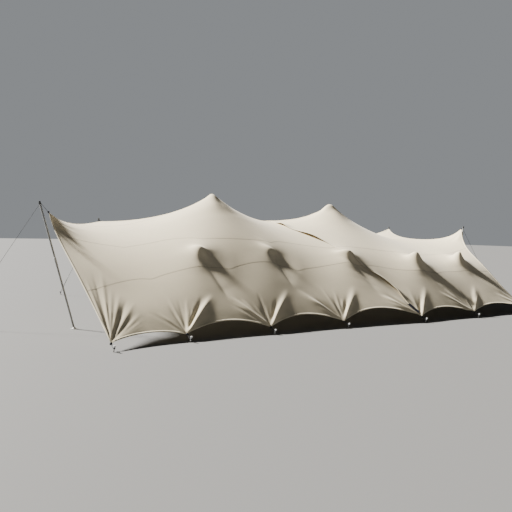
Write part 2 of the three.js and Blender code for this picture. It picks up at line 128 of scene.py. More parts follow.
# The net's plan: four curved sides for each sheet, blended, and drawn to the poles in between
def hem_line(stops, bows):
    def point(index):
        k = next(i for i in range(1, len(stops)) if stops[i][0] >= index)
        (first, start), (last, end) = stops[k - 1], stops[k]
        start, end = np.array(start[:2]), np.array(end[:2])
        share = (index - first) / (last - first)
        inward = np.array([start[1] - end[1], end[0] - start[0]])
        if inward @ (start + end) > 0:
            inward = -inward
        return start + (end - start) * share + inward * 4 * bows[k - 1] * share * (1 - share)
    return point


def joint_line(row):
    stops = [
        (0, FRONT_TIPS[4][2]),
        (INNER_TIPS[2][1], INNER_TIPS[2][2]),
        JOINT_CROSSING,
        (ROWS, BACK_TIPS[2][2]),
    ]
    places = [np.array(at[:2]) for _, at in stops]
    places = [2 * places[0] - places[1], *places, 2 * places[-1] - places[-2]]
    k = next(i for i in range(1, len(stops)) if stops[i][0] >= row)
    t = (row - stops[k - 1][0]) / (stops[k][0] - stops[k - 1][0])
    a, b, c, d = places[k - 1:k + 3]
    return 0.5 * (2 * b + (c - a) * t + (2 * a - 5 * b + 4 * c - d) * t**2 + (3 * b - a - 3 * c + d) * t**3)


def net_plan():
    front = hem_line([(c, at) for c, _, at in FRONT_TIPS], FRONT_BOWS)
    back = hem_line([(c, at) for c, _, at in BACK_TIPS], BACK_BOWS)
    left = hem_line([(r, at) for _, r, at in (FRONT_TIPS[0], LEFT_TIP, BACK_TIPS[0])], LEFT_BOWS)
    right = hem_line([(r, at) for _, r, at in (FRONT_TIPS[-1], RIGHT_TIP, BACK_TIPS[-1])], RIGHT_BOWS)
    plan = np.zeros((COLUMNS + 1, ROWS + 1, 2))
    for column in range(COLUMNS + 1):
        first, last, near, far = (0, JOINT, left, joint_line)
        if column > JOINT:
            first, last, near, far = (JOINT, COLUMNS, joint_line, right)
        u = (column - first) / (last - first)
        for row in range(ROWS + 1):
            v = row / ROWS
            plan[column, row] = (
                front(column) * (1 - v) + back(column) * v + near(row) * (1 - u) + far(row) * u
                - near(0) * (1 - u) * (1 - v) - far(0) * u * (1 - v)
                - near(ROWS) * (1 - u) * v - far(ROWS) * u * v
            )
    loose = np.ones((COLUMNS + 1, ROWS + 1, 1))
    loose[[0, -1, JOINT]] = 0
    loose[:, [0, -1]] = 0
    for column, row, at in KING_TIPS + INNER_TIPS:
        start = plan[column, row].copy()
        away = np.linalg.norm(plan - start, axis=2, keepdims=True)
        plan += np.exp(-(away / DRAW_REACH) ** 2) * loose * (np.array(at[:2]) - start)
    for column, row, at in HELD_TIPS:
        plan[column, row] = at[:2]
    return plan


# The net's heights: the fabric pulls alike over its triangles, and each hem belt along its length
def settled_net():
    plan = net_plan()
    points = plan.reshape(-1, 2)
    count = len(points)
    index = np.arange(count).reshape(COLUMNS + 1, ROWS + 1)
    a, b = index[:-1, :-1].ravel(), index[1:, :-1].ravel()
    c, d = index[1:, 1:].ravel(), index[:-1, 1:].ravel()
    forward = np.linalg.norm(points[a] - points[c], axis=1) <= np.linalg.norm(points[b] - points[d], axis=1)
    corners = np.concatenate([
        np.stack([a, b, c], 1)[forward], np.stack([a, c, d], 1)[forward],
        np.stack([a, b, d], 1)[~forward], np.stack([b, c, d], 1)[~forward],
    ])
    middles = points[corners].mean(axis=1)
    factor = np.ones(len(corners))
    for (_, _, at), spread in zip(KING_TIPS, KING_SPREADS):
        factor += spread / (TIP_SIZE + np.linalg.norm(middles - np.array(at[:2]), axis=1))

    stiffness = np.zeros((count, count))
    weight = np.zeros(count)

    def join(first, second, pull):
        np.add.at(stiffness, (first, first), pull)
        np.add.at(stiffness, (second, second), pull)
        np.add.at(stiffness, (first, second), -pull)
        np.add.at(stiffness, (second, first), -pull)

    for k in range(3):
        corner, start, end = corners[:, k], corners[:, (k + 1) % 3], corners[:, (k + 2) % 3]
        p, q = points[start] - points[corner], points[end] - points[corner]
        double_area = np.abs(p[:, 0] * q[:, 1] - p[:, 1] * q[:, 0])
        join(start, end, factor * (p * q).sum(axis=1) / double_area / 2)
        np.add.at(weight, corner, FABRIC_WEIGHT * double_area / 6)

    def belt(along, pull):
        join(along[:-1], along[1:], pull / np.linalg.norm(points[along[1:]] - points[along[:-1]], axis=1))

    belt(index[:, 0], FRONT_PULL)
    belt(index[:, -1], BACK_PULL)
    belt(index[0, :LEFT_TIP[1] + 1], LEFT_PULLS[0])
    belt(index[0, LEFT_TIP[1]:], LEFT_PULLS[1])
    belt(index[-1, :RIGHT_TIP[1] + 1], RIGHT_PULLS[0])
    belt(index[-1, RIGHT_TIP[1]:], RIGHT_PULLS[1])

    heights = np.zeros(count)
    held = np.zeros(count, bool)
    for column, row, at in HELD_TIPS:
        held[index[column, row]] = True
        heights[index[column, row]] = at[2]
    free = ~held
    load = -weight[free] - stiffness[np.ix_(free, held)] @ heights[held]
    heights[free] = np.linalg.solve(stiffness[np.ix_(free, free)], load)
    return np.concatenate([plan, heights.reshape(COLUMNS + 1, ROWS + 1, 1)], axis=2)


NET = settled_net()

# Creases: the hems turn sharply at the tips, and less so a row or two further in
CREASE_FADE = [1.0, 0.5, 0.15]
column_creases = np.zeros((COLUMNS + 1, ROWS + 1))
row_creases = np.zeros((COLUMNS + 1, ROWS + 1))
for k, crease in enumerate(CREASE_FADE):
    for column, _, _ in FRONT_TIPS:
        column_creases[column, k] = crease
    for column, _, _ in BACK_TIPS:
        column_creases[column, ROWS - k] = crease
    row_creases[k, LEFT_TIP[1]] = crease
    row_creases[COLUMNS - k, RIGHT_TIP[1]] = crease


def curves_through(points, creases, samples):
    """Smooth curves along the first axis of the points, read at the samples."""
    ahead = np.diff(points, axis=0)
    before = np.concatenate([ahead[:1], ahead])
    after = np.concatenate([ahead, ahead[-1:]])
    middle = (before + after) / 2
    leaving = middle + (after - middle) * creases[..., None]
    arriving = middle + (before - middle) * creases[..., None]
    k = np.minimum(samples.astype(int), len(points) - 2)
    t = (samples - k).reshape(-1, 1, 1)
    return ((2 * t**3 - 3 * t**2 + 1) * points[k] + (t**3 - 2 * t**2 + t) * leaving[k]
            + (3 * t**2 - 2 * t**3) * points[k + 1] + (t**3 - t**2) * arriving[k + 1])


def bay_sag(x, y):
    """How far the fabric hangs below the net between the inner poles. The ridges between bays are round."""
    poles = np.array([at for _, _, at in INNER_TIPS])
    forward = np.interp(x, poles[:, 0], poles[:, 1]) - y
    along = x + RIDGE_SLANT * np.maximum(0, forward)
    stops = np.array([BAY_ENDS[0], *poles[:, 0], BAY_ENDS[1]])
    k = np.clip(np.searchsorted(stops, along) - 1, 0, len(stops) - 2)
    width = stops[k + 1] - stops[k]
    from_ridge = np.clip(np.minimum(along - stops[k], stops[k + 1] - along), 0, None)
    middle = np.hypot(width / 2, RIDGE_ROUND) - RIDGE_ROUND
    share = (np.hypot(from_ridge, RIDGE_ROUND) - RIDGE_ROUND) / middle / 2
    depth = np.array(BAY_SAGS)[k]
    slope = forward / SLOPE_LENGTH
    towards_front = (slope - SAG_PEAK) / (1 - SAG_PEAK)
    towards_back = (SAG_PEAK - slope) / (SAG_PEAK + SAG_BACK)
    fade = np.where(slope > SAG_PEAK, towards_front, towards_back)
    profile = 2 * share * (1 - share) + np.sin(math.pi * share) ** 2 / 2
    return depth * profile * np.cos(math.pi / 2 * np.minimum(1, fade)) ** 2


def smooth(t):
    t = np.clip(t, 0, 1)
    return t * t * (3 - 2 * t)


# Lobes beside the poles' heads, where the fabric hangs lower or is drawn higher than the settled net:
# the pole's tip, the way the lobe faces in degrees, its drop, of which it reaches a bit over half, and
# its reach
LOBE_HEAD = 0.04
LOBE_CURVE = 0.8
LOBE_GAIN = 3
LOBE_FOCUS = 4
LOBES = [
    (KING_TIPS[0], -62, -0.05, 1.0),
    (KING_TIPS[1], -35, -0.07, 1.0),
    (INNER_TIPS[0], -55, 0.09, 1.1),
    (INNER_TIPS[0], 10, -0.03, 0.9),
    (INNER_TIPS[1], -55, 0.11, 1.1),
    (INNER_TIPS[2], -55, 0.08, 1.1),
    (INNER_TIPS[2], 5, -0.03, 0.9),
    (INNER_TIPS[3], -65, 0.03, 0.9),
    (INNER_TIPS[3], 0, -0.04, 0.8),
    (INNER_TIPS[4], -65, 0.03, 0.9),
    (INNER_TIPS[4], 0, -0.05, 0.8),
]


def lobe_drop(x, y):
    drop = np.zeros_like(x)
    for (_, _, at), degrees, full, reach in LOBES:
        dx, dy = x - at[0], y - at[1]
        away = np.hypot(dx, dy)
        facing = (math.cos(math.radians(degrees)), math.sin(math.radians(degrees)))
        front = ((1 + (dx * facing[0] + dy * facing[1]) / np.maximum(away, 1e-6)) / 2) ** LOBE_FOCUS
        share = np.clip((np.hypot(away, LOBE_HEAD) - LOBE_HEAD) / reach, 0, 1)
        drop += LOBE_GAIN * full * front * share**LOBE_CURVE * (1 - share) ** 2
    return drop


# Folds run from a start to an end on the plan, rise and fade over these shares of their length, and have a
# height and a width on their left and right side
FOLD_START = 0.12
FOLD_END = 0.45
FOLD_ROUND = 1.8

# Wedges: sharp valleys from the inner poles to these ends on the plan. A side's width is given at the end,
# and then how much wider it is at the pole
WEDGE_ENDS = [(-4.08, -4.30), (-1.66, -3.95), (1.62, -4.30), (4.76, -4.17), (7.29, -3.70)]
WEDGE_DEPTH = 0.055
WEDGE_SHALLOW = 0.2
WEDGE_FALL = 1.3
WEDGE_START = 0.16
WEDGE_END = 0.25
WEDGE_ROUND = 1.5
WEDGE_LEFT = (0.04, 0.1)
WEDGE_RIGHT = (0.3, 0.0)

# Flaps: the fabric turns down sharply between each two tips, along a crest from each of them
FLAP_RISE = 0.03
FLAP_NARROWING = 0.5
HEM_SIDE = 0.16
SLOPE_SIDE = 0.08
FLAP_ACROSS = 1.2
FLAP_UP = 1.0

# Creases fan out from each front tip: the way they run in degrees, their length and their height
FRONT_FANS = [
    [(99, 2.1, 0.014), (92, 2.4, -0.01), (86, 2.4, 0.014), (79, 1.8, 0.013),
     (71, 1.7, 0.016), (63, 1.6, -0.018), (55, 1.6, 0.013), (48, 1.4, -0.005),
     (43, 1.4, 0.01), (36, 1.3, 0.01), (31, 1.25, 0.009), (26, 1.2, 0.008)],
    [(42, 1.45, 0.034), (50, 1.3, -0.026), (58, 1.0, 0.018),
     (66, 0.9, 0.012), (33, 0.9, 0.012), (140, 0.9, 0.012)],
    [(139, 1.3, 0.034), (148, 1.2, -0.024), (131, 1.0, 0.016),
     (40, 1.2, 0.026), (50, 1.0, -0.02), (31, 0.9, 0.016)],
    [(143, 1.2, 0.034), (134, 1.0, -0.018), (151, 0.9, 0.016),
     (37, 1.3, 0.024), (47, 1.0, -0.018), (58, 0.8, 0.012)],
    [(146, 1.5, 0.034), (138, 1.3, -0.022), (153, 1.2, 0.018),
     (131, 1.1, 0.014), (40, 1.1, 0.024), (50, 0.9, -0.018)],
    [(146, 1.3, 0.032), (138, 1.1, -0.018), (153, 1.0, 0.016),
     (34, 1.2, 0.025), (44, 0.9, -0.016), (80, 0.7, 0.01)],
    [(148, 1.3, 0.028), (138, 1.1, -0.018), (126, 1.0, 0.016),
     (112, 1.2, 0.018), (160, 0.9, 0.014)],
]
CREASE_WIDTH = 0.055
EDGE_CREASE_WIDTH = 0.09
CREASE_NARROWING = 0.4

# Finer creases fan out at every tip, between these degrees and up to these heights
FINE_CREASES = 9
FINE_LENGTHS = (0.6, 1.2)
FRONT_SPREAD = (25, 150)
FRONT_FINE_RISE = 0.009
EDGE_SPREADS = [(-60, 50), (120, 240), (255, 355), (195, 345), (195, 345), (195, 345), (185, 285)]
EDGE_FINE_RISE = 0.007


def beside_line(x, y, start, end):
    """Where points lie beside a line on the plan: the share of its length, and the distance to its left."""
    run = np.array(end[:2]) - np.array(start[:2])
    length = np.hypot(*run)
    ux, uy = run / length
    dx, dy = x - start[0], y - start[1]
    return (dx * ux + dy * uy) / length, dy * ux - dx * uy


def fold(x, y, start, end, height, widths, narrowing):
    """The rise of one fold over the fabric around it."""
    share, side = beside_line(x, y, start, end)
    width = np.where(side > 0, widths[0], widths[1]) * (1 - narrowing + narrowing * np.clip(share, 0, 1))
    rise = smooth(share / FOLD_START) * smooth((1 - share) / FOLD_END)
    return height * rise * np.exp(-np.abs(side / width) ** FOLD_ROUND)


def wedge(x, y, start, end):
    """The sharp valley that leaves an inner pole: deep and steep-walled at the pole, shallow at its end."""
    share, side = beside_line(x, y, start, end)
    rest = np.clip(1 - share, 0, 1)
    left, right = (narrow + wider * rest for narrow, wider in (WEDGE_LEFT, WEDGE_RIGHT))
    fall = WEDGE_SHALLOW + (1 - WEDGE_SHALLOW) * rest**WEDGE_FALL
    depth = WEDGE_DEPTH * fall * smooth(share / WEDGE_START) * smooth(rest / WEDGE_END)
    return -depth * np.exp(-np.abs(side / np.where(side > 0, right, left)) ** WEDGE_ROUND)


def fan(tip, creases):
    at = tip[2]
    for degrees, length, height in creases:
        way = math.radians(degrees)
        yield at, (at[0] + length * math.cos(way), at[1] + length * math.sin(way)), height


def fine_fan(spread, seed, highest):
    low, high = spread
    chance = random.Random(seed)
    for k in range(FINE_CREASES):
        degrees = low + (high - low) * (k + chance.uniform(0.2, 0.8)) / FINE_CREASES
        length = chance.uniform(*FINE_LENGTHS)
        yield degrees, length, chance.choice([-1, 1]) * chance.uniform(0.4, 1) * highest


def all_folds():
    for near, end, far in zip(FRONT_TIPS[1:-1], WEDGE_ENDS, FRONT_TIPS[2:]):
        yield far[2], end, FLAP_RISE, (HEM_SIDE, SLOPE_SIDE), FLAP_NARROWING
        across = (near[2][0] + FLAP_ACROSS, near[2][1] + FLAP_UP)
        yield near[2], across, FLAP_RISE, (SLOPE_SIDE, HEM_SIDE), FLAP_NARROWING
    fans = list(zip(FRONT_TIPS, FRONT_FANS))
    for seed, tip in enumerate(FRONT_TIPS[1:-1]):
        fans.append((tip, fine_fan(FRONT_SPREAD, seed, FRONT_FINE_RISE)))
    for tip, creases in fans:
        for start, end, height in fan(tip, creases):
            yield start, end, height, (CREASE_WIDTH, CREASE_WIDTH), CREASE_NARROWING
    for seed, (tip, spread) in enumerate(zip([LEFT_TIP, RIGHT_TIP, *BACK_TIPS], EDGE_SPREADS)):
        for start, end, height in fan(tip, fine_fan(spread, seed, EDGE_FINE_RISE)):
            yield start, end, height, (EDGE_CREASE_WIDTH, EDGE_CREASE_WIDTH), CREASE_NARROWING


def normals_of(grid):
    normal = np.cross(np.gradient(grid, axis=0), np.gradient(grid, axis=1))
    return normal / np.maximum(np.linalg.norm(normal, axis=2, keepdims=True), 1e-9)


def surface(us, vs):
    """The fabric's middle at every pair of a column and a row, in the frame."""
    lines = curves_through(NET, column_creases, us)
    creases = np.array([np.interp(us, np.arange(COLUMNS + 1), row) for row in row_creases.T])
    grid = curves_through(lines.transpose(1, 0, 2), creases, vs).transpose(1, 0, 2)
    x, y = grid[..., 0], grid[..., 1]
    grid[..., 2] -= bay_sag(x, y) + lobe_drop(x, y)
    rise = sum(fold(x, y, *each) for each in all_folds())
    rise += sum(wedge(x, y, tip[2], end) for tip, end in zip(INNER_TIPS, WEDGE_ENDS))
    return grid + normals_of(grid) * rise[..., None] + SHIFT


def spaced(first, last, usual, zones):
    """Samples from first to last, closer together in the zones: centre, reach and samples per unit."""
    samples = [float(first)]
    for half in range(2 * first, 2 * last):
        middle = half / 2 + 0.25
        near = [many for centre, reach, many in zones if abs(middle - centre) < reach]
        many = math.ceil(max([usual, *near]) / 2)
        samples += [half / 2 + (i + 1) / many / 2 for i in range(many)]
    return np.array(samples)


COLUMN_ZONES = [(column, 1.5, 14) for column, _, _ in FRONT_TIPS] + [
    (column, 1, 9) for column, _, _ in KING_TIPS + INNER_TIPS
]
ROW_ZONES = [(0, 2.5, 16), (4.5, 2, 8), (11, 1, 8), (13.5, 1, 6)]

# Sheets: the right one laps over the left one's margin, and its edge wanders by up to a column. In places
# it lifts off the left one: row, reach along the lap and height. Widths on the lap are in columns
FABRIC = 0.0016
LAP = 1.2
LAP_RISE = 0.011
LAP_LEVEL = 0.5
LAP_FADE = 1.5
LIFT_WIDTH = 1.3
LEFT_EASE = 6
RIGHT_EASE = 3
MARGIN_SAMPLES = 16
COLUMN_SAMPLES = 6
ROW_SAMPLES = 4
LAP_EDGE = [(0, 0), (3.3, 1.1), (6.2, 0.3), (9, 1.0), (13.5, 0.3), (ROWS, 0)]
LAP_LIFTS = [(2.4, 0.6, 0.05), (3.7, 1.1, 0.065), (10.0, 1.0, 0.085), (12.5, 0.5, 0.08), (19.0, 2.5, 0.012)]
left_us = spaced(0, JOINT, COLUMN_SAMPLES, COLUMN_ZONES)
right_us = spaced(JOINT, COLUMNS, COLUMN_SAMPLES, COLUMN_ZONES)
row_vs = spaced(0, ROWS, ROW_SAMPLES, ROW_ZONES)


def eased(at, stops):
    """A smooth way through the stops: place and value."""
    places, values = np.array(stops, float).T
    k = np.clip(np.searchsorted(places, at, side="right") - 1, 0, len(places) - 2)
    share = (at - places[k]) / (places[k + 1] - places[k])
    return values[k] + (values[k + 1] - values[k]) * smooth(share)


def read_along(line, places, wanted):
    """The points of a line, given at the places, at the wanted places."""
    return np.stack([np.interp(wanted, places, line[:, k]) for k in range(3)], axis=1)


def read_across(grid, places, wanted):
    """One point on each of a grid's lines."""
    return np.concatenate([read_along(line, places, [at]) for line, at in zip(grid, wanted)])


def left_grid():
    """The left sheet, whose last columns spread to reach under the right one's edge."""
    wide_us = np.concatenate([left_us, JOINT + np.arange(1, MARGIN_SAMPLES + 1) / COLUMN_SAMPLES])
    wide = surface(wide_us, row_vs)
    reach = eased(row_vs, LAP_EDGE) + LAP
    near_edge = np.clip((left_us - (JOINT - LEFT_EASE)) / LEFT_EASE, 0, 1) ** 2
    grid = np.zeros((len(left_us), len(row_vs), 3))
    for j in range(len(row_vs)):
        grid[:, j] = read_along(wide[:, j], wide_us, left_us + reach[j] * near_edge)
    return grid


def right_grid():
    """The right sheet, raised over the lap, with its first columns moved to the wandering edge."""
    wide = surface(right_us, row_vs)
    up = normals_of(wide)
    edge = eased(row_vs, LAP_EDGE)
    lift = sum(height * np.exp(-((row_vs - row) / reach) ** 2) for row, reach, height in LAP_LIFTS)
    near_edge = np.clip((JOINT + RIGHT_EASE - right_us) / RIGHT_EASE, 0, 1) ** 2
    lifted = smooth((JOINT + LIFT_WIDTH - right_us) / LIFT_WIDTH)
    grid = np.zeros((len(right_us), len(row_vs), 3))
    for j in range(len(row_vs)):
        wanted = right_us + edge[j] * near_edge
        rise = LAP_RISE * smooth((JOINT + LAP + edge[j] + LAP_LEVEL + LAP_FADE - wanted) / LAP_FADE)
        height = rise + lift[j] * lifted
        upward = read_along(up[:, j], right_us, wanted)
        grid[:, j] = read_along(wide[:, j], right_us, wanted) + upward * height[:, None]
    return grid


def gaps(points, axis=0):
    """The distances between neighbours."""
    return np.linalg.norm(np.diff(points, axis=axis), axis=-1)


def running(steps):
    return np.concatenate([[0], np.cumsum(steps)])


def unit(vectors):
    vectors = np.asarray(vectors, float)
    return vectors / np.linalg.norm(vectors, axis=-1, keepdims=True)


def linked(name, data):
    made = bpy.data.objects.new(name, data)
    bpy.context.scene.collection.objects.link(made)
    return made


def mesh_of(bm, name):
    mesh = bpy.data.meshes.new(name)
    bm.to_mesh(mesh)
    bm.free()
    return mesh


def grid_piece(name, grid, material):
    """A sheet of quads on a grid of points, with its own lengths in metres as its UV map."""
    across, along = grid.shape[0] - 1, grid.shape[1] - 1
    bm = bmesh.new()
    bmesh.ops.create_grid(bm, x_segments=across, y_segments=along, size=1.0)
    mesh = mesh_of(bm, name)
    flat = np.zeros(len(mesh.vertices) * 3)
    mesh.vertices.foreach_get("co", flat)
    flat = flat.reshape(-1, 3)
    i = np.rint((flat[:, 0] + 1) / 2 * across).astype(int)
    j = np.rint((flat[:, 1] + 1) / 2 * along).astype(int)
    mesh.vertices.foreach_set("co", grid[i, j].ravel())
    u = running(gaps(grid, 0).mean(axis=1))
    v = running(gaps(grid, 1).mean(axis=0))
    corner = np.zeros(len(mesh.loops), int)
    mesh.loops.foreach_get("vertex_index", corner)
    layer = mesh.uv_layers.new(name="cloth")
    lengths = np.stack([u[i[corner]], v[j[corner]]], axis=1)
    layer.data.foreach_set("uv", lengths.astype(np.float32).ravel())
    mesh.update()
    mesh.materials.append(material)
    mesh.shade_smooth()
    return linked(name, mesh)


# Shells: rings of points joined along a way, closed around, and closed at ends that come to a point
def add_shell(bm, rings, finish=0):
    rings = np.asarray(rings, float)
    steps, sides = rings.shape[0] - 1, rings.shape[1] - 1
    layer = bm.loops.layers.uv.verify()
    made = bmesh.ops.create_grid(bm, x_segments=steps, y_segments=sides, size=1.0)["verts"]
    places = {
        vert: (round((vert.co.x + 1) / 2 * steps), round((vert.co.y + 1) / 2 * sides))
        for vert in made
    }
    along = running(gaps(rings, 0).mean(axis=1))
    around = running(gaps(rings, 1).max(axis=0))
    for face in {face for vert in made for face in vert.link_faces}:
        face.material_index = finish
        face.smooth = True
        for loop in face.loops:
            i, j = places[loop.vert]
            loop[layer].uv = (around[j], along[i])
    for vert, (i, j) in places.items():
        vert.co = rings[i, j]
    bmesh.ops.remove_doubles(bm, verts=made, dist=1e-5)


def shell_piece(name, bm, finishes, nodes, sharp=35):
    """The finished piece: it stands for its CAD nodes, if it has any, and rides on the tent."""
    bmesh.ops.recalc_face_normals(bm, faces=bm.faces)
    mesh = mesh_of(bm, name)
    mesh.set_sharp_from_angle(angle=math.radians(sharp))
    for finish in finishes:
        mesh.materials.append(finish)
    piece = linked(name, mesh)
    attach(piece, "root")
    if nodes:
        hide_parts(*nodes)
    return piece


def round_section(sides):
    return [(math.cos(2 * math.pi * k / sides), math.sin(2 * math.pi * k / sides)) for k in range(sides)]


def closed(section):
    return np.array([*section, section[0]])


def flat_section(width, thickness):
    """A flat band's outline with round edges."""
    w, t = width / 2, thickness / 2
    return [
        (w, 0), (w - t / 2, t), (0, t), (-w + t / 2, t),
        (-w, 0), (-w + t / 2, -t), (0, -t), (w - t / 2, -t),
    ]


def sweep(path, section, scales=1.0, upward=None):
    """Rings of a section along a path. The section's second axis follows the upward ways, if given."""
    path = np.asarray(path, float)
    steps = unit(np.diff(path, axis=0))
    ahead = unit(np.concatenate([steps[:1], steps[1:] + steps[:-1], steps[-1:]]))
    if upward is None:
        first = np.array([0, 0, 1.0]) if abs(ahead[0, 2]) < 0.9 else np.array([1.0, 0, 0])
        upward = np.zeros_like(path)
        for i, way in enumerate(ahead):
            first = unit(first - way * (first @ way))
            upward[i] = first
    across = unit(np.cross(ahead, upward))
    upward = np.cross(across, ahead)
    ring = closed(section)[None]
    scales = np.broadcast_to(np.asarray(scales, float), len(path))[:, None, None]
    return path[:, None] + scales * (ring[..., :1] * across[:, None] + ring[..., 1:] * upward[:, None])


# Ropes, bands and turned pieces. A rope's end is rounded over these shares of its radius
ROPE_END = (0.5, 0.3)
ROPE_END_WIDTH = 0.75
BAND_END = 0.001
TURN_STEP = math.radians(24)


def add_rope(bm, path, radius, sides):
    """A round rope with a rounded end at each end of its path."""
    path = np.asarray(path, float)
    start, end = unit(path[1] - path[0]), unit(path[-1] - path[-2])
    far, near = ROPE_END
    inside = [path[0] - start * radius * far, path[0] - start * radius * near]
    outside = [path[-1] + end * radius * near, path[-1] + end * radius * far]
    path = np.concatenate([inside, path, outside])
    scales = np.full(len(path), radius)
    scales[[0, -1]] = 0
    scales[[1, -2]] = radius * ROPE_END_WIDTH
    add_shell(bm, sweep(path, round_section(sides), scales))


def add_band(bm, path, width, thickness, upward):
    """A flat band with its ends closed."""
    start, end = unit(path[1] - path[0]), unit(path[-1] - path[-2])
    path = np.concatenate([[path[0] - start * BAND_END], path, [path[-1] + end * BAND_END]])
    upward = np.concatenate([upward[:1], upward, upward[-1:]])
    scales = np.ones(len(path))
    scales[[0, -1]] = 0
    add_shell(bm, sweep(path, flat_section(width, thickness), scales, upward))


def add_turned(bm, start, way, profile, sides=24, finish=0):
    """A profile of heights and radii turned about the line that leaves the start that way."""
    way = unit(way)
    side = unit(np.cross(way, (0, 1, 0) if abs(way[1]) < 0.9 else (1, 0, 0)))
    front = np.cross(way, side)
    ring = closed(round_section(sides))
    spokes = ring[:, :1] * side + ring[:, 1:] * front
    rings = [np.asarray(start) + way * height + spokes * radius for height, radius in profile]
    add_shell(bm, rings, finish)


def wound(centre, axis, radius, came_from, goes_to, turns, pitch):
    """Points of a rope's turns around an axis: it arrives from one point and leaves for another."""
    axis = unit(axis)
    side = unit(np.cross(axis, (0, 0, 1) if abs(axis[2]) < 0.9 else (1, 0, 0)))
    front = np.cross(axis, side)

    def angle_of(point):
        away = np.asarray(point) - centre
        return math.atan2(away @ front, away @ side)

    start = angle_of(came_from) + math.pi / 2
    turned = (angle_of(goes_to) - math.pi / 2 - start) % (2 * math.pi) + 2 * math.pi * turns
    steps = math.ceil(turned / TURN_STEP)
    points = []
    for k in range(steps + 1):
        angle = start + turned * k / steps
        height = pitch * turned / (2 * math.pi) * (k / steps - 0.5)
        spoke = side * math.cos(angle) + front * math.sin(angle)
        points.append(np.asarray(centre) + axis * height + radius * spoke)
    return points


# Materials
class Finish:
    """A material's nodes, added one by one."""

    def __init__(self, name, base, roughness, metallic=0.0, coordinates="Object"):
        self.material = bpy.data.materials.new(name)
        self.material.use_nodes = True
        self.nodes = self.material.node_tree.nodes
        self.links = self.material.node_tree.links
        self.place = self.nodes.new("ShaderNodeTexCoord").outputs[coordinates]
        self.shader = self.nodes["Principled BSDF"]
        self.shader.inputs["Base Color"].default_value = (*base, 1)
        self.shader.inputs["Roughness"].default_value = roughness
        self.shader.inputs["Metallic"].default_value = metallic

    def mapped(self, scale, turn=0.0):
        mapping = self.nodes.new("ShaderNodeMapping")
        mapping.inputs["Scale"].default_value = scale
        mapping.inputs["Rotation"].default_value = (0, 0, turn)
        self.links.new(self.place, mapping.inputs["Vector"])
        return mapping.outputs["Vector"]

    def noise(self, scale, detail=3.0, vector=None):
        noise = self.nodes.new("ShaderNodeTexNoise")
        noise.inputs["Scale"].default_value = scale
        noise.inputs["Detail"].default_value = detail
        self.links.new(vector or self.place, noise.inputs["Vector"])
        return noise.outputs["Fac"]

    def waves(self, scale, turn):
        wave = self.nodes.new("ShaderNodeTexWave")
        wave.inputs["Scale"].default_value = scale
        self.links.new(self.mapped((1, 1, 1), turn), wave.inputs["Vector"])
        return wave.outputs["Fac"]

    def height(self):
        """The height above the ground."""
        split = self.nodes.new("ShaderNodeSeparateXYZ")
        place = self.nodes.new("ShaderNodeTexCoord")
        self.links.new(place.outputs["Object"], split.inputs["Vector"])
        return split.outputs["Z"]

    def ramp(self, value, low, high, start=0.0, end=1.0):
        span = self.nodes.new("ShaderNodeMapRange")
        for socket, number in (("From Min", low), ("From Max", high), ("To Min", start), ("To Max", end)):
            span.inputs[socket].default_value = number
        self.links.new(value, span.inputs["Value"])
        return span.outputs["Result"]

    def math(self, operation, first, second):
        node = self.nodes.new("ShaderNodeMath")
        node.operation = operation
        for socket, value in zip(node.inputs, (first, second)):
            if isinstance(value, (int, float)):
                socket.default_value = value
            else:
                self.links.new(value, socket)
        return node.outputs["Value"]

    def mixed(self, share, first, second):
        mix = self.nodes.new("ShaderNodeMix")
        mix.data_type = "RGBA"
        self.links.new(share, mix.inputs["Factor"])
        for name, colour in (("A", first), ("B", second)):
            socket = next(i for i in mix.inputs if i.name == name and i.type == "RGBA")
            if isinstance(colour, tuple):
                socket.default_value = (*colour, 1)
            else:
                self.links.new(colour, socket)
        return next(o for o in mix.outputs if o.type == "RGBA")

    def paint(self, colour=None, roughness=None, bump=None, strength=0.3, distance=0.001):
        if colour is not None:
            self.links.new(colour, self.shader.inputs["Base Color"])
        if roughness is not None:
            self.links.new(roughness, self.shader.inputs["Roughness"])
        if bump is not None:
            node = self.nodes.new("ShaderNodeBump")
            node.inputs["Strength"].default_value = strength
            node.inputs["Distance"].default_value = distance
            self.links.new(bump, node.inputs["Height"])
            self.links.new(node.outputs["Normal"], self.shader.inputs["Normal"])
        return self.material


def knit_finish(name, pale, worn):
    """Stretch knit: fine ribs both ways, weathered patches, and soil low down."""
    knit = Finish(name, pale, 0.9, coordinates="UV")
    knit.shader.inputs["Sheen Weight"].default_value = 0.15
    patches = knit.ramp(knit.noise(0.55, 5.0), 0.35, 0.7, 0.0, 0.55)
    colour = knit.mixed(patches, pale, worn)
    specks = knit.ramp(knit.noise(9.0, 4.0), 0.55, 0.8, 0.0, 0.3)
    colour = knit.mixed(specks, colour, worn)
    low = knit.ramp(knit.height(), 0.15, 0.95, 0.55, 0.0)
    soil = knit.math("MULTIPLY", low, knit.ramp(knit.noise(2.2, 5.0), 0.3, 0.65))
    colour = knit.mixed(soil, colour, (0.27, 0.25, 0.16))
    ribs = knit.math("ADD", knit.waves(55.0, 0.0), knit.waves(80.0, math.pi / 2))
    rough = knit.ramp(knit.noise(4.0, 3.0), 0.3, 0.7, 0.84, 0.96)
    return knit.paint(colour, rough, ribs, 0.12, 0.0008)


def braid_finish(name, dark, light, scale, rough):
    """Braided rope: strands cross both ways around it, with pale flecks."""
    rope = Finish(name, dark, rough, coordinates="UV")
    lay = math.radians(38)
    strands = rope.math("MAXIMUM", rope.waves(scale, lay), rope.waves(scale, -lay))
    flecks = rope.ramp(rope.noise(140.0, 2.0), 0.56, 0.66)
    colour = rope.mixed(flecks, dark, light)
    return rope.paint(colour, rope.ramp(strands, 0, 1, rough, rough - 0.12), strands, 0.6, 0.0012)


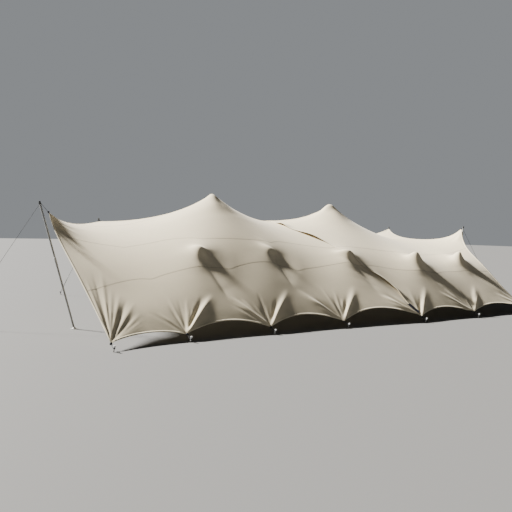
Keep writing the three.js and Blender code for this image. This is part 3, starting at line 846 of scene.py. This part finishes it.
def webbing_finish(name, dark, light):
    """Woven webbing: ribs across its width and a faint stripe of wear."""
    band = Finish(name, dark, 0.8, coordinates="UV")
    ribs = band.math("ADD", band.waves(70.0, math.pi / 2), band.waves(45.0, math.radians(20)))
    wear = band.ramp(band.noise(18.0, 4.0), 0.5, 0.75, 0.0, 0.6)
    return band.paint(band.mixed(wear, dark, light), band.ramp(ribs, 0, 2, 0.86, 0.72), ribs, 0.4, 0.0008)


def tube_finish(name, bright, dull):
    """Mill-finish tube: draw lines along it, dull oxide patches, scuffs and soil at the foot."""
    tube = Finish(name, bright, 0.42, 0.6, coordinates="UV")
    lines = tube.noise(1.0, 3.0, tube.mapped((260, 5, 1)))
    patches = tube.ramp(tube.noise(7.0, 5.0), 0.4, 0.68)
    colour = tube.mixed(patches, bright, dull)
    scuffs = tube.ramp(tube.noise(1.0, 4.0, tube.mapped((30, 120, 1))), 0.62, 0.72, 0.0, 0.7)
    colour = tube.mixed(scuffs, colour, (0.16, 0.16, 0.15))
    colour = tube.mixed(tube.ramp(tube.height(), 0.0, 0.3, 0.6, 0.0), colour, (0.2, 0.17, 0.12))
    rough = tube.math("ADD", tube.ramp(lines, 0.3, 0.7, 0.3, 0.5), tube.ramp(patches, 0, 1, 0.0, 0.12))
    return tube.paint(colour, rough, lines, 0.25, 0.0004)


def zinc_finish(name):
    """Hot-dip zinc: pale spangles, with soil where it meets the ground."""
    zinc = Finish(name, (0.6, 0.61, 0.6), 0.45, 0.3)
    spangle = zinc.nodes.new("ShaderNodeTexVoronoi")
    spangle.inputs["Scale"].default_value = 90.0
    zinc.links.new(zinc.place, spangle.inputs["Vector"])
    grains = zinc.ramp(spangle.outputs["Distance"], 0.0, 0.8)
    colour = zinc.mixed(grains, (0.72, 0.73, 0.72), (0.42, 0.43, 0.43))
    soil = zinc.math("MULTIPLY", zinc.ramp(zinc.height(), 0.0, 0.09, 1.0, 0.0), zinc.noise(25.0, 4.0))
    colour = zinc.mixed(soil, colour, (0.1, 0.075, 0.045))
    return zinc.paint(colour, zinc.ramp(grains, 0, 1, 0.32, 0.55), grains, 0.2, 0.0005)


def rubber_finish(name):
    """Dull black rubber with dust on it."""
    black = (0.022, 0.022, 0.024)
    rubber = Finish(name, black, 0.75)
    dust = rubber.ramp(rubber.noise(35.0, 5.0), 0.45, 0.75, 0.0, 0.5)
    colour = rubber.mixed(dust, black, (0.11, 0.105, 0.095))
    rough = rubber.ramp(dust, 0, 0.5, 0.62, 0.85)
    return rubber.paint(colour, rough, rubber.noise(120.0, 2.0), 0.15, 0.0004)


knit = knit_finish("stretch_knit", (0.70, 0.61, 0.43), (0.60, 0.53, 0.38))
# The hems are the same knit painted paler: a painted highlight for the light that catches the hem's fold
hem_highlight_knit = knit_finish("hem_highlight_knit", (0.78, 0.70, 0.52), (0.64, 0.57, 0.41))
seam_knit = knit_finish("seam_knit", (0.55, 0.48, 0.335), (0.47, 0.41, 0.29))
webbing = webbing_finish("dark_webbing", (0.018, 0.02, 0.034), (0.07, 0.075, 0.1))
rope_braid = braid_finish("dark_rope", (0.024, 0.026, 0.03), (0.11, 0.115, 0.12), 60.0, 0.85)
tube_metal = tube_finish("pole_aluminium", (0.56, 0.57, 0.57), (0.38, 0.39, 0.39))
zinc = zinc_finish("galvanised_steel")
rubber = rubber_finish("black_rubber")

# Sheets with their hems and welded seams
HEM_WIDTH = 0.056
HEM_THICKNESS = 0.006
HEM_INSET = 0.022
HEM_GATHER = 0.3
GATHER_REACH = 0.35
SEAM_WIDTH = 0.036
SEAM_THICKNESS = 0.001
SEAM_GAP = 0.0004
SEAMS = [
    [(0, 3.9), (8, 4.75), (26, 4.75), (32, 5.2), (42, 4.75), (52, 4.2)],
    [(0, 9.2), (12, 8.5), (20, 7.2), (26, 7.9), (34, 7.6), (42, 7.8), (52, 8.4)],
    [(0, 14.2), (22, 14.9), (38, 15.6), (52, 14.4)],
    [(0, 18.0), (52, 18.4)],
    [(0, 22.0), (52, 22.2)],
]


def around_edge(grid):
    return np.concatenate([grid[:, 0], grid[-1, 1:], grid[-2::-1, -1], grid[0, -2::-1]])


def hem_piece(name, grid):
    """The folded hem: a flat band around the sheet's whole edge, gathered in at the tips, in the knit
    painted paler as a highlight.
    """
    line, up = around_edge(grid), around_edge(normals_of(grid))
    keep = np.ones(len(line), bool)
    keep[1:] = gaps(line) > 1e-4
    line, up = line[keep], up[keep]
    ahead = np.roll(line, -1, axis=0) - np.roll(line, 1, axis=0)
    inward = unit(np.cross(up, ahead))
    tips = np.array([at for _, _, at in EDGE_TIPS]) + SHIFT
    near = np.min(np.linalg.norm(line[:, None] - tips[None], axis=2), axis=1)
    full = HEM_GATHER + (1 - HEM_GATHER) * smooth(near / GATHER_REACH)
    path = line + inward * (HEM_INSET * full)[:, None]
    path, up, full = (np.concatenate([a, a[:1]]) for a in (path, up, full))
    ahead = np.roll(path[:-1], -1, axis=0) - np.roll(path[:-1], 1, axis=0)
    across = unit(np.cross(unit(np.concatenate([ahead, ahead[:1]])), up))
    ring = closed(flat_section(HEM_WIDTH, HEM_THICKNESS))[None]
    wide = full[:, None, None] * ring[..., :1] * across[:, None]
    bm = bmesh.new()
    add_shell(bm, path[:, None] + wide + ring[..., 1:] * up[:, None])
    return shell_piece(name, bm, [hem_highlight_knit], [], 70)


def seam_piece(name, grid, us):
    """The welded seams that join the sheet's panels: narrow bands on its top, from hem to hem."""
    bm = bmesh.new()
    up = normals_of(grid)
    for stops in SEAMS:
        rows = eased(us, stops)
        path = read_across(grid, row_vs, rows)
        upward = read_across(up, row_vs, rows)
        path += upward * (FABRIC / 2 + SEAM_THICKNESS / 2 + SEAM_GAP)
        add_band(bm, path, SEAM_WIDTH, SEAM_THICKNESS, upward)
    return shell_piece(name, bm, [seam_knit], [])


grids = [left_grid(), right_grid()]
for side, grid, us in (("left", grids[0], left_us), ("right", grids[1], right_us)):
    cloth = grid_piece(f"{side}_cloth", grid, knit)
    thickness = cloth.modifiers.new("cloth_thickness", "SOLIDIFY")
    thickness.thickness = FABRIC
    thickness.offset = 0
    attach(cloth, "root")
    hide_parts(f"{side}_sheet")
    trim = [hem_piece(f"{side}_hem", grid), seam_piece(f"{side}_seams", grid, us)]

# Poles: a foot plate, two tubes in a sleeve, and a rubber head under the fabric or a cap at the top.
# Turned pieces are lists of heights and radii
POLE_RADIUS = 0.03
UPPER_RADIUS = 0.027
EDGE_POLE_STEP = 0.0005
TUBE_OVERLAP = 0.1
SLEEVE_SHARE = 0.52
SLEEVE_RADIUS = 0.0345
SLEEVE_LENGTH = 0.26
SLEEVE_CHAMFER = 0.004
SLEEVE_MOUTHS = (0.0315, 0.0305)
BUTTON_DOWN = 0.05
BUTTON_SINK = 0.003
HEAD_RADIUS = 0.045
HEAD_GAP = 0.003
HEAD_REACH = 0.25
HEAD_SAMPLES = 9
HEAD_NECK = 0.05
SOCKET_FLOOR = 0.03
BOSS_DEPTH = 0.022
CAP_DEPTH = 0.005
PLATE = [(0, 0), (0, 0.104), (0.002, 0.109), (0.006, 0.11), (0.0105, 0.108), (0.012, 0.103), (0.012, 0)]
SOCKET = [
    (0.011, 0), (0.011, 0.058), (0.015, 0.05), (0.024, 0.044),
    (0.072, 0.04), (0.08, 0.036), (0.08, 0),
]
BOSS = [
    (0.011, 0), (0.011, 0.064), (0.018, 0.062), (0.034, 0.052),
    (0.046, 0.034), (0.051, 0.014), (0.052, 0),
]
BUTTON = [(0, 0), (0, 0.007), (0.005, 0.007), (0.0075, 0.005), (0.0085, 0)]
HEAD = [(-0.1, 0), (-0.1, 0.031), (-0.096, 0.034), (-0.05, 0.035)]
CAP = [(-0.05, 0), (-0.05, 0.0315), (-0.047, 0.033), (-0.008, 0.033), (-0.002, 0.03), (0, 0.023), (0, 0)]
COLLAR = [(-0.112, 0), (-0.112, 0.034), (-0.109, 0.0365), (-0.103, 0.0365), (-0.1, 0.034), (-0.1, 0)]
POLE_FINISHES = [tube_metal, zinc, rubber]


def add_tube(bm, start, way, low, high, radius):
    add_turned(bm, start, way, [(low, 0), (low, radius), (high, radius), (high, 0)], 32)


def add_sleeve(bm, start, way, middle):
    """The sleeve that joins the two tubes, with its snap button."""
    low, high = middle - SLEEVE_LENGTH / 2, middle + SLEEVE_LENGTH / 2
    profile = [
        (low, 0), (low, SLEEVE_MOUTHS[0]), (low + SLEEVE_CHAMFER, SLEEVE_RADIUS),
        (high - SLEEVE_CHAMFER, SLEEVE_RADIUS), (high, SLEEVE_MOUTHS[1]), (high, 0),
    ]
    add_turned(bm, start, way, profile, 32, 1)
    side = unit(np.cross(way, (1, 0.3, 0)))
    button = np.asarray(start) + unit(way) * (high - BUTTON_DOWN) + side * (SLEEVE_RADIUS - BUTTON_SINK)
    add_turned(bm, button, side, BUTTON, 12, 1)


def head_height(x, y):
    """The height of a pole's ball whose top just stays under the fabric."""
    clear = HEAD_RADIUS + FABRIC / 2 + HEAD_GAP
    lowest = math.inf
    for grid in grids:
        near = np.hypot(grid[..., 0] - x, grid[..., 1] - y) < HEAD_REACH
        for i, j in np.argwhere(near[:-1, :-1]):
            a, b, c, d = grid[i, j], grid[i + 1, j], grid[i, j + 1], grid[i + 1, j + 1]
            for s in np.linspace(0, 1, HEAD_SAMPLES):
                for t in np.linspace(0, 1, HEAD_SAMPLES):
                    p = (a * (1 - s) + b * s) * (1 - t) + (c * (1 - s) + d * s) * t
                    away = math.hypot(p[0] - x, p[1] - y)
                    if away < clear:
                        lowest = min(lowest, p[2] - math.sqrt(clear**2 - away**2))
    return lowest


def push_pole(name, tip):
    foot = np.array([*tip[2][:2], 0]) + SHIFT
    centre = head_height(foot[0], foot[1])
    up = (0, 0, 1)
    middle = centre * SLEEVE_SHARE
    bm = bmesh.new()
    add_turned(bm, foot, up, PLATE, 40, 1)
    add_turned(bm, foot, up, SOCKET, 32, 1)
    add_tube(bm, foot, up, SOCKET_FLOOR, middle, POLE_RADIUS)
    add_tube(bm, foot, up, middle - TUBE_OVERLAP, centre - HEAD_NECK, UPPER_RADIUS)
    add_sleeve(bm, foot, up, middle)
    head = [(centre + height, radius) for height, radius in HEAD]
    for degrees in range(-40, 90, 10):
        turn = math.radians(degrees)
        head.append((centre + HEAD_RADIUS * math.sin(turn), HEAD_RADIUS * math.cos(turn)))
    head.append((centre + HEAD_RADIUS, 0))
    add_turned(bm, foot, up, head, 32, 2)
    shell_piece(f"{name}_tube", bm, POLE_FINISHES, [name])


for k, tip in enumerate(KING_TIPS):
    push_pole(f"king_pole_{k + 1}", tip)
for k, tip in enumerate(INNER_TIPS):
    push_pole(f"inner_pole_{k + 1}", tip)


def edge_pole(name, top, foot):
    way = unit(top - foot)
    length = np.linalg.norm(top - foot)
    middle = length * SLEEVE_SHARE
    bm = bmesh.new()
    add_turned(bm, foot, (0, 0, 1), PLATE, 40, 1)
    add_turned(bm, foot, (0, 0, 1), BOSS, 32, 1)
    add_tube(bm, foot, way, BOSS_DEPTH / way[2], middle, POLE_RADIUS)
    add_tube(bm, foot, way, middle - TUBE_OVERLAP, length - CAP_DEPTH, POLE_RADIUS - EDGE_POLE_STEP)
    add_sleeve(bm, foot, way, middle)
    add_turned(bm, top, way, CAP, 32, 2)
    add_turned(bm, top, way, COLLAR, 32, 1)
    shell_piece(f"{name}_tube", bm, POLE_FINISHES, [name])


# Stakes lean away from the tent
STAKE_RADIUS = 0.017
STAKE_HEIGHT = 0.17
STAKE_LEAN = 0.06
STAKE_SETBACK = 0.15
NECK_SHARE = 0.6
STAKE_SHAFT = [(0, 0), (0, 1), (0.06, 1), (0.5, 1), (0.9, 1), (0.9, 0)]
STAKE_HEAD = [
    (-0.03, 0), (-0.03, 0.024), (-0.027, 0.03), (-0.014, 0.032),
    (-0.006, 0.029), (-0.001, 0.018), (0, 0),
]


def stake_axis(foot, away):
    return np.asarray(foot) + (*(away[:2] * STAKE_LEAN), STAKE_HEIGHT)


def stake(name, foot, away):
    top = stake_axis(foot, away)
    ring = closed(round_section(16))
    rings = []
    for share, radius in STAKE_SHAFT:
        spokes = np.column_stack([ring * STAKE_RADIUS * radius, np.zeros(len(ring))])
        rings.append(foot + (top - foot) * share + spokes)
    bm = bmesh.new()
    add_shell(bm, rings)
    add_turned(bm, top, top - foot, STAKE_HEAD, 24)
    shell_piece(f"{name}_pin", bm, [zinc], [name])


# Knots: the fabric's tip is wrapped, and bound with cord
KNOT = [
    (-0.04, 0), (-0.04, 0.011), (-0.028, 0.022), (-0.012, 0.029),
    (0.006, 0.03), (0.02, 0.022), (0.032, 0.012), (0.036, 0),
]
KNOT_OFFSET = 0.008
KNOT_EXIT = 0.03
BINDING_BACK = 0.004
BINDING_REACH = 0.031
BINDING_RADIUS = 0.004
BINDING_SIDES = 8
ROPE_RADIUS = 0.006
ROPE_SIDES = 10
TURN_PITCH = 2.1
LASHING_SPREAD = 0.009


def add_knot(bm, tip, way, finish):
    centre = tip + way * KNOT_OFFSET
    add_turned(bm, centre, way, KNOT, 20, finish)
    ahead = centre + np.cross(way, (0.3, 0.5, 1))
    middle = centre - way * BINDING_BACK
    turns = wound(middle, way, BINDING_REACH, ahead, ahead, 3, BINDING_RADIUS * TURN_PITCH)
    add_rope(bm, turns, BINDING_RADIUS, BINDING_SIDES)


def front_tie(number, tip):
    end = np.array(tip[2]) + SHIFT
    inner = NET[tip[0]][2] + SHIFT
    away = end - inner
    away[2] = 0
    away = unit(away)
    foot = end + away * STAKE_SETBACK
    foot[2] = 0
    top = stake_axis(foot, away)
    neck = foot + (top - foot) * NECK_SHARE
    bm = bmesh.new()
    way = unit(neck - end)
    add_knot(bm, end, way, 1)
    side = unit(np.cross(way, top - foot)) * LASHING_SPREAD
    start = end + way * KNOT_EXIT
    reach = STAKE_RADIUS + ROPE_RADIUS
    turns = wound(neck, top - foot, reach, start - side, start + side, 2, ROPE_RADIUS * TURN_PITCH)
    # The rope's two runs keep to their own sides
    if np.linalg.norm(turns[0] - start - side) < np.linalg.norm(turns[0] - start + side):
        side = -side
    add_rope(bm, [start - side, *turns, start + side], ROPE_RADIUS, ROPE_SIDES)
    name = f"front_tie_{number}"
    shell_piece(f"{name}_lashing", bm, [rope_braid, webbing], [name])
    stake(f"front_stake_{number}", foot, away)


for k, tip in enumerate(FRONT_TIPS):
    front_tie(k + 1, tip)

# Guys: from the fabric's tip around the pole's top, down around the stake and back to a runner
RUNNER_UP = 0.9
RUNNER_OUT = 0.026
RUNNER = [(-0.045, 0), (-0.045, 0.006), (-0.041, 0.01), (0.041, 0.01), (0.045, 0.006), (0.045, 0)]
COIL_DOWN = 0.075


def guy(name, tip, top, foot, stake_foot):
    end = np.array(tip[2]) + SHIFT
    pole_way = unit(top - foot)
    away = stake_foot - top
    away[2] = 0
    away = unit(away)
    stake_top = stake_axis(stake_foot, away)
    neck = stake_foot + (stake_top - stake_foot) * NECK_SHARE
    grip = top - pole_way * COIL_DOWN
    way = unit(grip - end)
    line = unit(grip - neck)
    side = unit(np.cross(line, (0, 0, 1))) * RUNNER_OUT
    runner = neck + line * RUNNER_UP + side
    pitch = ROPE_RADIUS * TURN_PITCH
    around_pole = wound(grip, -pole_way, POLE_RADIUS + ROPE_RADIUS, end, neck, 2, pitch)
    down = stake_foot - stake_top
    around_stake = wound(neck, down, STAKE_RADIUS + ROPE_RADIUS, grip, runner + side, 1, pitch)
    bm = bmesh.new()
    add_knot(bm, end, way, 1)
    path = [end + way * KNOT_EXIT, *around_pole, *around_stake, runner + side * 0.2]
    add_rope(bm, path, ROPE_RADIUS, ROPE_SIDES)
    add_turned(bm, runner - side * 0.5, side, RUNNER, 16, 2)
    shell_piece(f"{name}_rope", bm, [rope_braid, webbing, zinc], [name])
    stake(f"{name}_stake", stake_foot, away)


for pole_name, guy_name, tip, top, foot, stake_foot in EDGE_POLES:
    top = np.array(top) + SHIFT
    foot = np.array([*foot, 0]) + SHIFT
    edge_pole(pole_name, top, foot)
    guy(guy_name, tip, top, foot, np.array([*stake_foot, 0]) + SHIFT)

# Joint strap: a broad band over the lap's lower end, and a narrow one from it to the tie
STRAP_THICKNESS = 0.0045
STRAP_RISE = 0.0205
STRAP_OUTLINE = [(0.0, 0.014), (0.13, 0.016), (0.16, 0.085), (0.175, 0.095), (0.59, 0.095), (0.605, 0.088)]
STRAP_SIDE = 0.22
STRAP_TAIL = 0.2
STRAP_ACROSS = 9
STRAP_COLUMNS = (-0.4, 0.9)


def joint_strap():
    rows = np.linspace(0, 2.5, 60)
    columns = JOINT + np.linspace(*STRAP_COLUMNS, 53)
    grid = surface(columns, rows)
    up = normals_of(grid)
    middle = grid[np.argmin(np.abs(columns - JOINT - STRAP_SIDE))]
    far = running(gaps(middle))
    rings = []
    stops = np.array(STRAP_OUTLINE)
    for along in np.concatenate([[0.0], np.arange(0.01, 0.61, 0.015)]):
        half = np.interp(along, stops[:, 0], stops[:, 1])
        line = read_across(grid, far, np.full(len(columns), along))
        rise = read_across(up, far, np.full(len(columns), along))
        across = running(gaps(line))
        across -= np.interp(JOINT + STRAP_SIDE * smooth(along / STRAP_TAIL), columns, across)
        places = np.linspace(-half, half, STRAP_ACROSS)
        band = read_along(line, across, places)
        normal = read_along(rise, across, places)
        over = band + normal * (STRAP_RISE + STRAP_THICKNESS / 2)
        under = band + normal * (STRAP_RISE - STRAP_THICKNESS / 2)
        rings.append(np.concatenate([over, under[::-1], over[:1]]))
    ends = [np.broadcast_to(ring[:-1].mean(axis=0), ring.shape) for ring in (rings[0], rings[-1])]
    bm = bmesh.new()
    add_shell(bm, [ends[0], *rings, ends[1]])
    shell_piece("joint_strap_band", bm, [webbing], ["joint_strap"])


joint_strap()

# Floor, camera and light
FLOOR_REACH = 150
CAMERA_AT = (-10.302, -18.117, 2.975)
CAMERA_YAW = math.radians(26.982)
CAMERA_PITCH = math.radians(-2.571)
CAMERA_ROLL = math.radians(1.09)
SENSOR_WIDTH = 36
CAMERA_FOCUS = 509.75 / 512 * SENSOR_WIDTH
CAMERA_REACH = 400

bm = bmesh.new()
bmesh.ops.create_grid(bm, x_segments=8, y_segments=8, size=FLOOR_REACH)
floor = linked("floor", mesh_of(bm, "floor"))
floor.data.materials.append(Finish("pale_floor", (0.125, 0.125, 0.123), 0.9).material)

camera_data = bpy.data.cameras.new("camera")
camera = linked("camera", camera_data)
ahead = Vector((
    math.sin(CAMERA_YAW) * math.cos(CAMERA_PITCH),
    math.cos(CAMERA_YAW) * math.cos(CAMERA_PITCH),
    math.sin(CAMERA_PITCH),
))
level = Vector((math.cos(CAMERA_YAW), -math.sin(CAMERA_YAW), 0))
upright = level.cross(ahead)
across = level * math.cos(CAMERA_ROLL) + upright * math.sin(CAMERA_ROLL)
upward = upright * math.cos(CAMERA_ROLL) - level * math.sin(CAMERA_ROLL)
turn = Matrix((across, upward, -ahead)).transposed().to_4x4()
camera.matrix_world = Matrix.Translation(Vector(CAMERA_AT) + Vector(SHIFT)) @ turn
camera_data.sensor_width = SENSOR_WIDTH
camera_data.lens = CAMERA_FOCUS
camera_data.clip_end = CAMERA_REACH
bpy.context.scene.camera = camera

SUN_FROM = Vector((-0.515, 0.575, 0.635))
SUN_ENERGY = 21.0
sun_data = bpy.data.lights.new("key", "SUN")
sun_data.energy = SUN_ENERGY
sun_data.angle = math.radians(6)
sun_data.color = (1.0, 0.97, 0.92)
sun = linked("key", sun_data)
sun.rotation_euler = SUN_FROM.to_track_quat("Z", "Y").to_euler()

# The room's fill light is low, and what the camera sees of it is a pale backdrop
FILL = 0.07
BACKDROP = 0.32
world = bpy.data.worlds.new("studio")
world.use_nodes = True
fill = world.node_tree.nodes["Background"]
fill.inputs["Color"].default_value = (0.82, 0.87, 0.95, 1)
fill.inputs["Strength"].default_value = FILL
backdrop = world.node_tree.nodes.new("ShaderNodeBackground")
backdrop.inputs["Color"].default_value = (0.8, 0.84, 0.88, 1)
backdrop.inputs["Strength"].default_value = BACKDROP
ray = world.node_tree.nodes.new("ShaderNodeLightPath")
either = world.node_tree.nodes.new("ShaderNodeMixShader")
links = world.node_tree.links
links.new(ray.outputs["Is Camera Ray"], either.inputs["Fac"])
links.new(fill.outputs["Background"], either.inputs[1])
links.new(backdrop.outputs["Background"], either.inputs[2])
links.new(either.outputs["Shader"], world.node_tree.nodes["World Output"].inputs["Surface"])
bpy.context.scene.world = world
